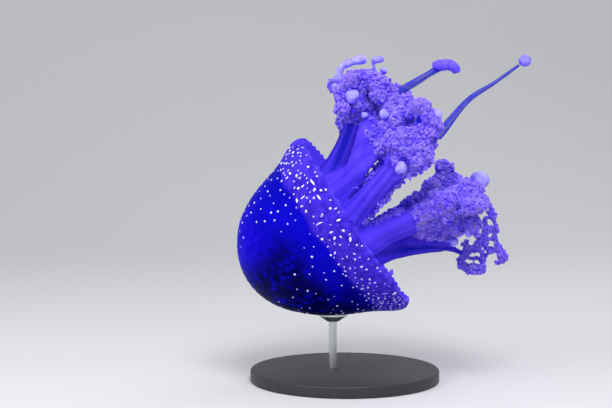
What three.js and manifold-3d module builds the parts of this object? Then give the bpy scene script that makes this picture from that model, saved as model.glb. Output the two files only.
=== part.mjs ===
// A life-size white-spotted jellyfish (Phyllorhiza punctata) swimming on a plain display stand.
// Millimetres, +Z up. The origin is the centre of the stand's underside, and -Y faces the viewer.
//
// The animal is modelled upright in its own frame: the rim of the bell lies in the plane z = 0, the
// bell's apex points along +Z and the oral arms hang along -Z. One group tips it into its pose.
import * as THREE from "three";
import { mergeVertices } from "three/addons/utils/BufferGeometryUtils.js";
import Module from "manifold-3d";

const wasm = await Module();
wasm.setup();

const { degToRad, lerp, smoothstep } = THREE.MathUtils;

// ---- driving dimensions -------------------------------------------------------------------------

const GAP = 0.3; // left between two pieces that meet

const pose = {
  rim: new THREE.Vector3(8.5, 0, 161.5), // where the middle of the bell's rim floats
  tip: degToRad(123.5), // the apex swings from upright towards -X and down
  turn: degToRad(2.2), // and a little away from the viewer
};

const bell = {
  radius: 88,
  height: 122,
  flare: 11.5, // how far the margin stands out past the dome
  flareReach: 26,
  innerRadius: 79,
  innerHeight: 106,
  innerFlare: 17.5,
  innerFlareReach: 22,
  curl: 3, // the very edge turns in again
  curlReach: 5,
  domeStart: 31, // the thick dome begins here, above the thin margin
  rimLean: -3.3, // the bell's centre line leans sideways as it rises
  leanRate: 0.11,
  leanTop: 95,
  lappets: 32,
  lappetDepth: 3,
};

const disc = {
  middle: 6, // the mouth parts sit off the rim's middle, because the bell leans
  underside: 12,
  bevel: 6,
  foot: 54,
  footHeight: 30,
  waist: 49,
  waistHeight: 60,
  crown: 42,
  bury: 6, // the crown is cut to the inside of the bell
};

const arm = {
  ring: 38, // distance of each root from the bundle's middle
  rootHeight: 13,
  rootThickness: 18,
  rootWidth: 16,
  thickness: 10,
  width: 13,
  stalkShare: 0.6, // the smooth stalk's share of the arm's length
};

// The oral arms, anticlockwise seen from the apex. Each leaves its root at one azimuth, bends at a
// distance from the bundle's middle, and ends at its own azimuth, distance and reach past the rim.
// frill is the half width of its frills, and broad widens a stalk that is more of a ribbon.
const arms = [
  { root: 4, bend: 57, tip: 0, spread: 120, reach: 98, frill: 33 },
  { root: 45, bend: 52, tip: 34, spread: 98, reach: 116, frill: 30 },
  { root: 84, bend: 50, tip: 72, spread: 84, reach: 110, frill: 29 },
  { root: 140, bend: 46, tip: 126, spread: 64, reach: 116, frill: 28 },
  { root: 188, bend: 60, tip: 186, spread: 118, reach: 104, frill: 25 },
  { root: 228, bend: 52, tip: 226, spread: 80, reach: 128, frill: 31, broad: 1.15 },
  { root: 268, bend: 66, tip: 298, spread: 76, reach: 123, frill: 28, broad: 0.85 },
  { root: 323, bend: 50, tip: 316, spread: 70, reach: 132, frill: 30, broad: 1.4 },
];

const frill = {
  start: 0.4, // share of the arm's length where the frills begin
  neck: 9,
  wings: 3,
  wingDepth: 0.2,
  lobes: 4,
  lobeDepth: 0.16,
};

// Stinging clubs and gas-filled bladders that sit half sunk in the frills, as [x, y, z] and a radius.
const clubs = [
  { at: [104, -26, -67], radius: 6 },
  { at: [81, -13, -67], radius: 3 },
  { at: [72, -33, -83], radius: 4.6 },
  { at: [22, -74, -69], radius: 5.5 },
  { at: [45, -60, -121], radius: 4.2 },
  { at: [-37, 14, -127], radius: 10 },
  { at: [-68, -48, -89], radius: 4 },
  { at: [-70, -20, -72], radius: 4 },
  { at: [108, 0, -107], radius: 3.6 },
];

// Longer clubs are thick curved fingers through a few points.
const fingers = [
  { through: [[111, -9, -60], [128, -9, -68], [133, -9, -78], [125, -9, -96]], radius: 4.6 },
  { through: [[113, 1, -103], [121, 1, -112]], radius: 3.2 },
  { through: [[86, 12, -153], [82, 13, -160], [76, 13, -165], [69, 12, -166]], radius: 6 },
];

// Clear filaments trail from the arm tips. One carries the long finger, the other a round club.
const trailers = [
  { through: [[82, 2, -104], [80, 6, -128], [78, 11, -152]], root: 4.4, end: 4 },
  { through: [[25, -30, -114], [38, -20, -158], [38, -12, -190], [39, -6, -221]], root: 4.2, end: 1.4 },
];
const trailerClub = { at: [39.5, -5, -228], radius: 6 };

const stand = {
  baseRadius: 95,
  baseThickness: 12,
  bevel: 2,
  rodRadius: 4,
  rodOffset: -12, // the rod meets the bell at its lowest point
  cradleFoot: 6,
  cradleRadius: 15,
  cradleTop: 72,
  cradleDepth: 12,
};

// ---- materials ----------------------------------------------------------------------------------

function flesh(name, color, roughness) {
  return new THREE.MeshStandardMaterial({ name, color, roughness, metalness: 0 });
}

const domeBlue = flesh("dome", 0x0a06c4, 0.4);
const marginViolet = flesh("margin", 0x4a30d8, 0.4);
const stalkViolet = flesh("stalk", 0x5a3ee4, 0.4);
const frillLilac = flesh("frill", 0x7860f6, 0.6);
const clubPale = flesh("club", 0xa69efc, 0.35);
const trailerBlue = flesh("trailer", 0x1a2cb4, 0.3);
const standBlack = new THREE.MeshStandardMaterial({ name: "base", color: 0x2b2d31, roughness: 0.5 });
const rodSteel = new THREE.MeshStandardMaterial({
  name: "rod",
  color: 0xb9bcc0,
  roughness: 0.3,
  metalness: 1,
});

// ---- solids -------------------------------------------------------------------------------------

function solidOf(geometry) {
  const bare = geometry.clone();
  bare.deleteAttribute("normal");
  bare.deleteAttribute("uv");
  const merged = mergeVertices(bare, 1e-3);
  return new wasm.Manifold(
    new wasm.Mesh({
      numProp: 3,
      vertProperties: merged.attributes.position.array,
      triVerts: new Uint32Array(merged.index.array),
    }),
  );
}

function geometryOf(solid) {
  const mesh = solid.getMesh();
  const geometry = new THREE.BufferGeometry();
  geometry.setAttribute("position", new THREE.BufferAttribute(mesh.vertProperties, 3));
  geometry.setIndex(new THREE.BufferAttribute(mesh.triVerts, 1));
  return geometry;
}

// Moves every vertex of a geometry by a function of its place.
function reshape(geometry, move) {
  const places = geometry.attributes.position;
  const point = new THREE.Vector3();
  for (let i = 0; i < places.count; i++) {
    move(point.fromBufferAttribute(places, i));
    places.setXYZ(i, point.x, point.y, point.z);
  }
  return geometry;
}

function largestBody(solid) {
  return solid.decompose().reduce((best, body) => (body.volume() > best.volume() ? body : best));
}

const animal = new THREE.Group();
animal.position.copy(pose.rim);
animal.rotation.copy(new THREE.Euler(0, -pose.tip, -pose.turn, "ZYX"));

function addMesh(group, name, geometry, material) {
  const mesh = new THREE.Mesh(geometry, material);
  mesh.name = name;
  group.add(mesh);
}

// Flesh is laid down in order: each piece is cut back from those before it, grown by the gap.
// shape(grow) gives a piece's closed geometry, swollen by that much.
let taken = null;

function layFlesh(name, material, shape) {
  let piece = solidOf(shape(0));
  if (taken) piece = largestBody(piece.subtract(taken));
  const grown = solidOf(shape(GAP));
  taken = taken ? taken.add(grown) : grown;
  addMesh(animal, name, geometryOf(piece), material);
}

// ---- bell ---------------------------------------------------------------------------------------

function leanAt(height) {
  return bell.rimLean + bell.leanRate * Math.min(Math.max(height, 0), bell.leanTop);
}

function wallRadius(radius, height, flare, reach, at) {
  const dome = radius * Math.sqrt(Math.max(0, 1 - (at / height) ** 2));
  const curl = bell.curl * Math.exp(-Math.max(at, 0) / bell.curlReach);
  return dome + flare * Math.exp(-((at / reach) ** 2)) - curl;
}

function outerRadius(at) {
  return wallRadius(bell.radius, bell.height, bell.flare, bell.flareReach, at);
}

function innerRadius(at) {
  return wallRadius(bell.innerRadius, bell.innerHeight, bell.innerFlare, bell.innerFlareReach, at);
}

// Turns a closed profile of [radius, height] about the bell's axis, then leans the result.
function turned(profile, segments) {
  const points = profile.map(([radius, height]) => new THREE.Vector2(Math.max(radius, 0), height));
  const geometry = new THREE.LatheGeometry(points, segments).rotateX(Math.PI / 2);
  return reshape(geometry, (p) => {
    p.x += leanAt(p.z);
  });
}

// A wall's outline from its start up to the pole, in steps that shorten towards the pole.
function wallProfile(radiusAt, start, top, steps, grow) {
  const first = Math.asin(start / top);
  const outline = Array.from({ length: steps }, (_, i) => {
    const height = top * Math.sin(lerp(first, Math.PI / 2, i / steps));
    return [radiusAt(height) + grow, height];
  });
  return [...outline, [0, top + grow]];
}

function domeShape(grow) {
  const start = bell.domeStart - grow;
  const outer = wallProfile(outerRadius, start, bell.height, 8, grow);
  const inner = wallProfile(innerRadius, start, bell.innerHeight, 6, -grow);
  return turned([...inner.reverse(), ...outer], 36);
}

// The thin skirt under the dome, with its edge cut into lappets.
function marginShape(grow) {
  const top = bell.domeStart - GAP + grow;
  const levels = [0, 0.2, 0.6, 1].map((share) => share * top);
  const outer = levels.map((h) => [outerRadius(h) + grow, h]);
  const inner = levels.map((h) => [innerRadius(h) - grow, h]).reverse();
  const edge = [(outerRadius(0) + innerRadius(0)) / 2, -bell.lappetDepth - grow];
  const geometry = turned([...inner, edge, ...outer, inner[0]], 2 * bell.lappets);
  return reshape(geometry, (p) => {
    const angle = Math.atan2(p.y, p.x - bell.rimLean);
    const notch = 0.5 * (1 + Math.cos(bell.lappets * angle));
    if (p.z < 0) p.z += bell.lappetDepth * notch;
  });
}

layFlesh("bell_dome", domeBlue, domeShape);
layFlesh("bell_margin", marginViolet, marginShape);

// ---- oral disc ----------------------------------------------------------------------------------

// The fused pillar under the middle of the bell, from which the arms grow.
function discShape(grow) {
  const crown = [1, 0.75, 0.4, 0].map((share) => {
    const radius = disc.crown * share;
    const height = bell.innerHeight * Math.sqrt(1 - (radius / bell.innerRadius) ** 2);
    return [radius, height + disc.bury];
  });
  const profile = [
    [0, disc.underside - grow],
    [disc.foot - disc.bevel + grow, disc.underside - grow],
    [disc.foot + grow, disc.footHeight],
    [disc.waist + grow, disc.waistHeight],
    ...crown,
  ];
  return turned(profile, 20).translate(disc.middle, 0, 0);
}

layFlesh("oral_disc", stalkViolet, discShape);

// ---- oral arms ----------------------------------------------------------------------------------

function aroundBundle(azimuth, distance, height) {
  const angle = degToRad(azimuth);
  return new THREE.Vector3(
    disc.middle + distance * Math.cos(angle),
    distance * Math.sin(angle),
    height,
  );
}

// The middle line of an arm, from its root to its tip.
function armLine({ root, bend, tip, spread, reach }) {
  return new THREE.QuadraticBezierCurve3(
    aroundBundle(root, arm.ring, arm.rootHeight),
    aroundBundle((root + tip) / 2, bend, -reach / 2),
    aroundBundle(tip, spread, -reach),
  );
}

// The place at a share of a line's length, with the directions out from the bundle and sideways.
function frameAt(line, share) {
  const at = line.getPointAt(share);
  const along = line.getTangentAt(share);
  const out = new THREE.Vector3(at.x - disc.middle, at.y, 0);
  out.addScaledVector(along, -out.dot(along)).normalize();
  return { at, out, side: new THREE.Vector3().crossVectors(along, out) };
}

// A limb along a line, between two shares of its length. radiusAt(share, angle) gives its radius,
// with the angle counted from the outward side. A high power leaves the ends blunt.
function limb(line, { from = 0, to = 1, around = 12, rings = 8, power = 4 }, radiusAt) {
  const geometry = new THREE.SphereGeometry(1, around, rings);
  return reshape(geometry, (p) => {
    const position = (1 - p.y) / 2;
    const cap = (1 - Math.abs(2 * position - 1) ** power) ** (1 / power);
    const share = lerp(from, to, position);
    const frame = frameAt(line, share);
    const angle = Math.atan2(p.z, p.x);
    const radius = cap * radiusAt(share, angle);
    p.copy(frame.at)
      .addScaledVector(frame.out, radius * Math.cos(angle))
      .addScaledVector(frame.side, radius * Math.sin(angle));
  });
}

function stalkRadius(share, angle, broad = 1) {
  const narrowing = smoothstep(share, 0, 0.3);
  const thickness = lerp(arm.rootThickness, arm.thickness, narrowing);
  const width = broad * lerp(arm.rootWidth, arm.width, narrowing);
  return 1 / Math.hypot(Math.cos(angle) / thickness, Math.sin(angle) / width);
}

arms.forEach((row, i) => {
  const ends = { to: arm.stalkShare, around: 10, rings: 7, power: 8 };
  layFlesh(`arm_${i + 1}_stalk`, stalkViolet, (grow) =>
    limb(armLine(row), ends, (share, angle) => stalkRadius(share, angle, row.broad) + grow),
  );
});

// ---- clubs and trailing filaments ---------------------------------------------------------------

function splineThrough(points) {
  return new THREE.CatmullRomCurve3(points.map((point) => new THREE.Vector3(...point)));
}

function layClub(name, { at, radius }) {
  layFlesh(name, clubPale, (grow) =>
    new THREE.SphereGeometry(radius + grow, 8, 6).rotateX(Math.PI / 2).translate(...at),
  );
}

clubs.forEach((club, i) => layClub(`club_${i + 1}`, club));

fingers.forEach(({ through, radius }, i) => {
  layFlesh(`finger_${i + 1}`, clubPale, (grow) =>
    limb(splineThrough(through), { around: 8, rings: 3 + 2 * through.length }, () => radius + grow),
  );
});

layClub("trailer_2_club", trailerClub);

trailers.forEach(({ through, root, end }, i) => {
  const ends = { around: 6, rings: 4 * through.length, power: 10 };
  layFlesh(`trailer_${i + 1}`, trailerBlue, (grow) =>
    limb(splineThrough(through), ends, (share) => lerp(root, end, share) + grow),
  );
});

// ---- frills -------------------------------------------------------------------------------------


// The frills of an arm are a mass with three wings, one of them facing the bundle's middle.
function frillRadius(share, angle, widest, phase) {
  const swell = lerp(frill.neck, widest, smoothstep(share, frill.start, 0.75));
  const wing = 1 - frill.wingDepth * (1 + Math.cos(frill.wings * angle));
  const lobe = 1 + frill.lobeDepth * Math.sin(2 * Math.PI * frill.lobes * share + 2 * angle + phase);
  return swell * wing * lobe;
}

arms.forEach((row, i) => {
  const ends = { from: frill.start, around: 12, rings: 10, power: 3 };
  layFlesh(`arm_${i + 1}_frill`, frillLilac, (grow) =>
    limb(armLine(row), ends, (share, angle) => frillRadius(share, angle, row.frill, i) + grow),
  );
});

// ---- stand --------------------------------------------------------------------------------------

// Turns an upright profile of [radius, height] about the Z axis.
function post(profile, segments) {
  const points = profile.map(([radius, height]) => new THREE.Vector2(radius, height));
  return new THREE.LatheGeometry(points, segments).rotateX(Math.PI / 2);
}

function basePlate() {
  const { baseRadius: radius, baseThickness: top, bevel } = stand;
  return post([[0, 0], [radius, 0], [radius, top - bevel], [radius - bevel, top], [0, top]], 36);
}

function rod() {
  const radius = stand.rodRadius;
  const foot = stand.baseThickness + GAP;
  const top = stand.cradleTop - stand.cradleDepth - GAP;
  return post([[0, foot], [radius, foot], [radius, top], [0, top]], 16).translate(stand.rodOffset, 0, 0);
}

// A small cup under the bell, cut to the bell's own shape.
function cradle() {
  const { cradleFoot, cradleRadius: radius, cradleTop: top, cradleDepth: depth } = stand;
  const foot = top - depth;
  const cup = post([[0, foot], [cradleFoot, foot], [radius, top - depth / 2], [radius, top], [0, top]], 20);
  const belly = domeShape(GAP).applyMatrix4(animal.matrix);
  return geometryOf(solidOf(cup.translate(stand.rodOffset, 0, 0)).subtract(solidOf(belly)));
}

const object = new THREE.Group();
object.add(animal);
animal.updateMatrix();
addMesh(object, "stand_base", basePlate(), standBlack);
addMesh(object, "stand_rod", rod(), rodSteel);
addMesh(object, "stand_cradle", cradle(), rodSteel);

export default object;
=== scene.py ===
"""A life-size white-spotted jellyfish, swimming over a plain display stand."""
import math

import bpy
import numpy as np
from mathutils import Matrix, Vector
from mathutils.bvhtree import BVHTree
from mathutils.kdtree import KDTree


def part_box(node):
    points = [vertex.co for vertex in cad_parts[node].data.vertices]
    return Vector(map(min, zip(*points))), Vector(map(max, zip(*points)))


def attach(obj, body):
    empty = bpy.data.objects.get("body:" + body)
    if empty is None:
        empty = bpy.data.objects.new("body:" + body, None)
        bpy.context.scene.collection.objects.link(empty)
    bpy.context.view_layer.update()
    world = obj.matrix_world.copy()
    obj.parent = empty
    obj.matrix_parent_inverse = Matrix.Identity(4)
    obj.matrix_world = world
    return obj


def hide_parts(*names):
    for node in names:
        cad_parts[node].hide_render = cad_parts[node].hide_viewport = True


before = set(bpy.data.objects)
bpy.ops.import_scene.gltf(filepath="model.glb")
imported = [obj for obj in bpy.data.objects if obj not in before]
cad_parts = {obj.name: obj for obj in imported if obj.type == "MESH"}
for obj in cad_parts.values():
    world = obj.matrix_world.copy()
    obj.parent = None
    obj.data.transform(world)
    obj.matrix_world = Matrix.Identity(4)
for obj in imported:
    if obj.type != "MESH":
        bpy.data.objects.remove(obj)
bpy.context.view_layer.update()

# ---- Camera --------------------------------------------------------------------------------------
# It looks level with the animal and slightly down, along +Y, from far enough off that the bell and
# the arms keep their proportions. It is made first, so that all that follows is made in its view.

look_at = Vector((-0.039, 0, 0.178))
camera_rise = math.radians(4)
camera_distance = 1.445
bpy.ops.object.camera_add(
    location=look_at + camera_distance * Vector((0, -math.cos(camera_rise), math.sin(camera_rise))),
    rotation=(math.pi / 2 - camera_rise, 0, 0),
)
camera = bpy.context.object
camera.data.lens = 85
camera.data.sensor_width = 36
bpy.context.scene.camera = camera

# ---- Bell ----------------------------------------------------------------------------------------
# The swimming bell is a thick dome of firm clear jelly with a thin skirt, and its edge is cut into
# many small lappets. It is one closed wall, spun from its section and then leaned, grained and
# scalloped. The animal is modelled upright, apex up, and tipped into its swimming pose afterwards.

rim_middle = Vector((0.0085, 0, 0.1615))
tipped_by = math.radians(-123.5)
swung_by = math.radians(-2.2)
pose = (
    Matrix.Translation(rim_middle)
    @ Matrix.Rotation(swung_by, 4, "Z")
    @ Matrix.Rotation(tipped_by, 4, "Y")
)
pose_array = np.array(pose)
upright_array = np.array(pose.inverted())
bell_height = 0.122
inner_height = 0.106
skirt_height = 0.012
edge_curl = 0.003
curl_height = 0.005
rim_shift = -0.0033
lean_slope = 0.11
lean_height = 0.095
bell_steps = 384
wart_spacing = 0.0066
wart_radius = 0.0030
wart_rise = 0.00028
lappets = 62
lappet_depth = 0.0024


def posed(places):
    return places @ pose_array[:3, :3].T + pose_array[:3, 3]


def upright(places):
    return places @ upright_array[:3, :3].T + upright_array[:3, 3]


def deselect_all():
    bpy.ops.object.select_all(action="DESELECT")


def pick(piece):
    deselect_all()
    piece.select_set(True)
    bpy.context.view_layer.objects.active = piece


def edit_whole(piece, operator, **settings):
    """Runs one mesh operator on the whole of a piece in edit mode."""
    pick(piece)
    bpy.ops.object.mode_set(mode="EDIT")
    bpy.ops.mesh.select_all(action="SELECT")
    operator(**settings)
    bpy.ops.object.mode_set(mode="OBJECT")


def apply_modifier(piece, kind, **settings):
    pick(piece)
    modifier = piece.modifiers.new(kind.title(), kind)
    for key, value in settings.items():
        setattr(modifier, key, value)
    bpy.ops.object.modifier_apply(modifier=modifier.name)


def vectors_of(items, name):
    values = np.empty(len(items) * 3, dtype=np.float32)
    items.foreach_get(name, values)
    return values.reshape(-1, 3).astype(float)


def places_of(piece):
    return vectors_of(piece.data.vertices, "co")


def faces_of(piece):
    """A piece's faces in a fixed order, each from its lowest corner. Editing tools shuffle them."""
    faces = [tuple(face.vertices) for face in piece.data.polygons]
    starts = [face.index(min(face)) for face in faces]
    return sorted(face[start:] + face[:start] for face, start in zip(faces, starts))


def triangles_of(piece):
    piece.data.calc_loop_triangles()
    corners = np.empty(len(piece.data.loop_triangles) * 3, dtype=np.int32)
    piece.data.loop_triangles.foreach_get("vertices", corners)
    return corners.reshape(-1, 3)


def normals_of(piece):
    """A normal at each place, where a triangle counts by its angle there, and a sliver not at all."""
    corners, places = triangles_of(piece), places_of(piece)
    normals = np.zeros(places.shape)
    for k in range(3):
        here, left, right = (places[corners[:, (k + step) % 3]] for step in range(3))
        facing = np.cross(left - here, right - here)
        area = np.linalg.norm(facing, axis=1)
        angle = np.arctan2(area, ((left - here) * (right - here)).sum(1))
        share = np.where(area > 1e-10, angle / np.maximum(area, 1e-10), 0)
        np.add.at(normals, corners[:, k], facing * share[:, None])
    return normals / np.maximum(np.linalg.norm(normals, axis=1, keepdims=True), 1e-12)


def move_to(piece, places):
    piece.data.vertices.foreach_set("co", places.astype(np.float32).ravel())
    piece.data.update()


def apart(places, point):
    """How far places are from a point in millimetres, in millimetres."""
    return np.linalg.norm(places * 1000 - point, axis=1)


def smooth(value, low, high):
    """Rises softly from 0 at low to 1 at high."""
    share = np.clip((value - low) / (high - low), 0, 1)
    return share * share * (3 - 2 * share)


def swell(value, middle, width):
    """A soft hump, 1 high at its middle."""
    return np.exp(-(((value - middle) / width) ** 2))


def wall_radius(at, radius, height, flare, reach):
    """A dome that flares out over its skirt and curls in at its edge."""
    dome = radius * np.sqrt(np.maximum(0, 1 - (at / height) ** 2))
    curl = edge_curl * np.exp(-np.maximum(at, 0) / curl_height)
    return dome + flare * np.exp(-((at / reach) ** 2)) - curl


def outer_radius(at):
    return wall_radius(at, radius=0.088, height=bell_height, flare=0.0115, reach=0.026)


def inner_radius(at):
    return wall_radius(at, radius=0.079, height=inner_height, flare=0.0175, reach=0.022)


def lean_at(height):
    """How far sideways the leaning bell's middle is at a height."""
    return rim_shift + lean_slope * np.clip(height, 0, lean_height)


dome_turns = np.linspace(0, math.acos(skirt_height / bell_height), 64)
skirt_heights = np.linspace(skirt_height, 0, 11)[1:]
outer_heights = np.concatenate([bell_height * np.cos(dome_turns), skirt_heights])
lip_middle = (outer_radius(0) + inner_radius(0)) / 2
lip_half = (outer_radius(0) - inner_radius(0)) / 2
lip_turns = np.linspace(0, math.pi, 5)[1:-1]
inner_heights = inner_height * np.sin(np.linspace(0, math.pi / 2, 28))
section = np.concatenate(
    [
        np.stack([outer_radius(outer_heights), outer_heights], 1),
        np.stack([lip_middle + lip_half * np.cos(lip_turns), -lip_half * np.sin(lip_turns)], 1),
        np.stack([inner_radius(inner_heights), inner_heights], 1),
    ]
)
section[0, 0] = section[-1, 0] = 0

deselect_all()
bpy.ops.mesh.primitive_circle_add(vertices=len(section), radius=0.1)
skin = bpy.context.object
skin.name = "jellyfish_skin"
move_to(skin, np.stack([section[:, 0], 0 * section[:, 0], section[:, 1]], 1))
bpy.ops.object.mode_set(mode="EDIT")
bpy.ops.mesh.select_all(action="DESELECT")
bpy.ops.object.mode_set(mode="OBJECT")
for edge in skin.data.edges:
    edge.select = set(edge.vertices) == {0, len(section) - 1}
bpy.ops.object.mode_set(mode="EDIT")
bpy.ops.mesh.select_mode(type="EDGE")
bpy.ops.mesh.delete(type="EDGE")
bpy.ops.mesh.select_all(action="SELECT")
bpy.ops.mesh.spin(steps=bell_steps, angle=2 * math.pi, center=(0, 0, 0), axis=(0, 0, 1))
bpy.ops.mesh.select_all(action="SELECT")
bpy.ops.mesh.remove_doubles(threshold=1e-6)
bpy.ops.mesh.normals_make_consistent(inside=False)
bpy.ops.object.mode_set(mode="OBJECT")
spun_places, spun_faces = places_of(skin), faces_of(skin)
skin.data.clear_geometry()
skin.data.from_pydata(spun_places.tolist(), [], spun_faces)

# The dome is grained with low warts about 7 mm apart, which fade out towards the skirt.


def thin_out(places, spacing):
    """The numbers of the places kept, leaving out each nearer than spacing to one already kept."""
    kept = []
    grid = {}
    for index, (x, y, z) in enumerate(places.tolist()):
        key = (int(x // spacing), int(y // spacing), int(z // spacing))
        near = [
            other
            for dx in (-1, 0, 1)
            for dy in (-1, 0, 1)
            for dz in (-1, 0, 1)
            for other in grid.get((key[0] + dx, key[1] + dy, key[2] + dz), ())
        ]
        if all((x - a) ** 2 + (y - b) ** 2 + (z - c) ** 2 >= spacing**2 for a, b, c in near):
            grid.setdefault(key, []).append((x, y, z))
            kept.append(index)
    return np.array(kept)


def tree_of(places):
    tree = KDTree(len(places))
    for index, place in enumerate(places):
        tree.insert(place, index)
    tree.balance()
    return tree


def distance_to(tree, places):
    return np.array([tree.find(place)[2] for place in places])


def on_bell(heights, turns):
    radius = outer_radius(heights)
    return np.stack([radius * np.cos(turns), radius * np.sin(turns), heights], 1)


chance = np.random.default_rng(11)
thrown_heights = bell_height * np.sin(chance.uniform(0.2, math.pi / 2, 9000))
thrown = on_bell(thrown_heights, chance.uniform(0, 2 * math.pi, 9000))
wart_tree = tree_of(thrown[thin_out(thrown, wart_spacing)])
places = places_of(skin)
normals = normals_of(skin)
height = places[:, 2].copy()
turn = np.arctan2(places[:, 1], places[:, 0])
outside = np.hypot(places[:, 0], places[:, 1]) > (outer_radius(height) + inner_radius(height)) / 2
wart = np.clip(1 - (distance_to(wart_tree, places) / wart_radius) ** 2, 0, 1) ** 2
wart = wart * smooth(height, 0.03, 0.05) * outside
places += normals * (wart_rise * wart)[:, None]

# The lappets hang from the edge, puffed between fine furrows. The skirt droops on the far side
# where it trails, is fuller at its upper end, and turns in at its lower end.
lobe = np.abs(np.cos(lappets / 2 * turn + 1.3 * np.sin(3 * turn + 0.4) + 0.8 * np.sin(8 * turn)))
near_edge = 1 - smooth(height, 0.0, 0.008)
places[:, 2] -= lappet_depth * np.sqrt(lobe) * near_edge * (0.7 + 0.3 * np.sin(5 * turn))
places += normals * (0.0006 * (lobe - 0.5) * (1 - smooth(height, 0.003, 0.014)) * outside)[:, None]
ripple = np.sin(23 * turn + 260 * height) * (1 - smooth(height, 0.006, 0.028))
places += normals * (0.00022 * ripple * outside)[:, None]
skirt = 1 - smooth(height, 0.0, 0.034)
places += normals * (0.0009 * np.sin(8 * turn + 0.6) * skirt)[:, None]
far_droop = np.sin(2 * turn) * smooth(turn, 0, 0.5) * (1 - smooth(turn, 2.7, math.pi))
places[:, 2] -= 0.0050 * far_droop * skirt
outward = np.stack([np.cos(turn), np.sin(turn), 0 * turn], 1)
fuller = 0.0030 * swell(turn, 0.1, 0.55) * swell(height, 0.008, 0.018)
turned_in = 0.0048 * swell(np.abs(turn), math.pi, 0.5) * np.exp(-np.clip(height + 0.003, 0, 1) / 0.0045)
places += outward * (fuller - turned_in)[:, None]
places[:, 0] += lean_at(height)
move_to(skin, posed(places))

# ---- Mouth arms ----------------------------------------------------------------------------------
# Under the bell hangs the mouth pillar with eight arms of clear, striped flesh, each widening to a
# mass that carries the frills. They start from the solids of the frame and are grown until they
# fuse. The lowest arm has worn to an open lace of strands at its end.

arm_rows = [
    # way of the root, bend out, way of the tip, spread and reach of the tip
    (4, 57, 0, 120, 98),
    (45, 52, 34, 98, 116),
    (84, 50, 72, 84, 110),
    (140, 46, 126, 64, 116),
    (188, 60, 186, 118, 104),
    (228, 52, 226, 80, 128),
    (268, 66, 298, 76, 123),
    (323, 50, 316, 70, 132),
]
bundle_middle = 0.006
arm_steps = 60
root_distance = 0.038
root_height = 0.013
core_inset = 0.0075
stalk_growth = 0.0006
web_thickness = 0.0095
leaning_thickness = 0.0112
lace_thickness = 0.0016
lace_knob_spacing = 2.4
lump_spacing = 0.0086
fringe_reach = 0.05
groove_depth = 0.00022
far_arm = 3
lace_arm = 4
leaning_arm = 7
lace_strands = [
    # each one's points; the last is a loop at the side of the uppermost mass
    [(-40, 10, -112), (-55, 2, -122), (-64, -2, -121), (-73, -6, -118), (-83, -8, -115), (-94, -6, -107),
     (-101, -8, -107), (-108, -12, -108), (-113, -14, -107), (-114, -14, -100), (-111, -10, -95)],
    [(-72, -6, -118), (-71, -2, -110), (-80, 0, -105), (-85, -4, -98), (-89, -8, -91), (-97, -10, -88),
     (-105, -10, -85), (-111, -12, -82), (-111, -14, -77), (-106, -14, -69), (-97, -12, -65),
     (-91, -10, -67), (-89, -8, -73), (-85, -6, -80), (-78, -2, -84)],
    [(-94, -6, -108), (-90, -5, -104), (-86, -4, -99)],
    [(-88, -4, -99), (-94, -6, -96), (-100, -8, -97), (-103, -8, -104)],
    [(-85, -6, -80), (-91, -4, -84), (-93, -8, -89)],
    [(-89, -8, -73), (-96, -2, -77), (-99, -4, -83), (-105, -10, -85)],
    [(-94, -10, -66), (-99, -4, -70), (-104, -6, -76), (-110, -12, -83)],
    [(-76, 0, -106), (-82, -4, -109), (-84, -8, -115)],
    [(-66, 4, -116), (-72, -6, -118)],
    [(-83, -8, -115), (-84, 6, -108), (-86, 12, -98), (-88, 10, -88), (-90, 2, -80), (-91, -10, -67)],
    [(-100, -8, -107), (-102, 6, -100), (-103, 8, -92), (-105, -4, -85)],
    [(-70, 8, -104), (-78, 14, -98), (-86, 12, -94), (-96, 8, -96), (-102, 2, -102)],
    [(126, -9, -64), (128, -9, -58), (125, -9, -53), (120, -9, -54), (115, -10, -60)],
]
web_line = [
    (-44, -10, -30), (-53, -10, -40), (-61, -10, -52), (-69, -10, -61), (-80, -9, -69), (-90, -9, -75)
]
web_widths = (1, 0.9, 0.8, 0.6, 0.36, 0.16)
stalk_line = [(32, -28, -9), (39, -30, -26), (50, -32, -41), (60, -30, -53), (68, -24, -60), (73, -9, -70)]
stalk_widths = (1.05, 1.05, 1.0, 0.95, 0.82, 0.6)
single_lumps = [
    # place and radius of lumps that fill out the masses, the lace and the rim's knob
    (-58, -22, -66, 6.0),
    (-66, -11, -70, 5.0),
    (-63, -24, -81, 6.0),
    (-60, -32, -91, 6.0),
    (-42, -34, -50, 6.5),
    (79, -15, -98, 8.0),
    (74, -20, -92, 7.0),
    (85, -13, -101, 6.0),
    (-50, -30, -57, 6.0),
    (-105, -10, -72, 4.6),
    (-98, -11, -66, 3.8),
    (-111, -13, -79, 3.8),
    (-108, -12, -104, 3.6),
    (-113, -13, -104, 3.2),
    (-113, -13, -98, 2.6),
    (-33, 0, -113, 7.0),
    (-42, 0, -121, 6.0),
    (-37, -8, -117, 5.5),
    (101, -17, -92, 8.0),
    (91, -19, -90, 8.0),
    (96, -15, -99, 7.0),
    (109, -16, -86, 6.5),
    (-5, 38, -104, 6.5),
    (-10, 36, -109, 5.0),
    (-57, -76, -4, 3.4),
    (-56, -74, -7, 3.0),
]
hollows = [
    # place and radius of the hollows between the lumps, the first of which is a bare pit
    (54, -73, -102, 11),
    (92, -8, -36, 13),
    (122, -2, -117, 9),
    (47, -74, -80, 7.5),
    (42, -77, -86, 7.5),
    (39, -77, -93, 7.5),
    (36, -81, -100, 7.5),
    (33, -81, -106, 7.5),
    (25, -79, -111, 7.5),
    (-64, -52, -102, 11),
    (-68, -52, -94, 9),
    (-59, -52, -112, 8),
    (-7, 49, -58, 12),
    (-10, 26, -60, 9),
    (45, -76, -124, 8),
    (130, -20, -90, 9),
]
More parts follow.
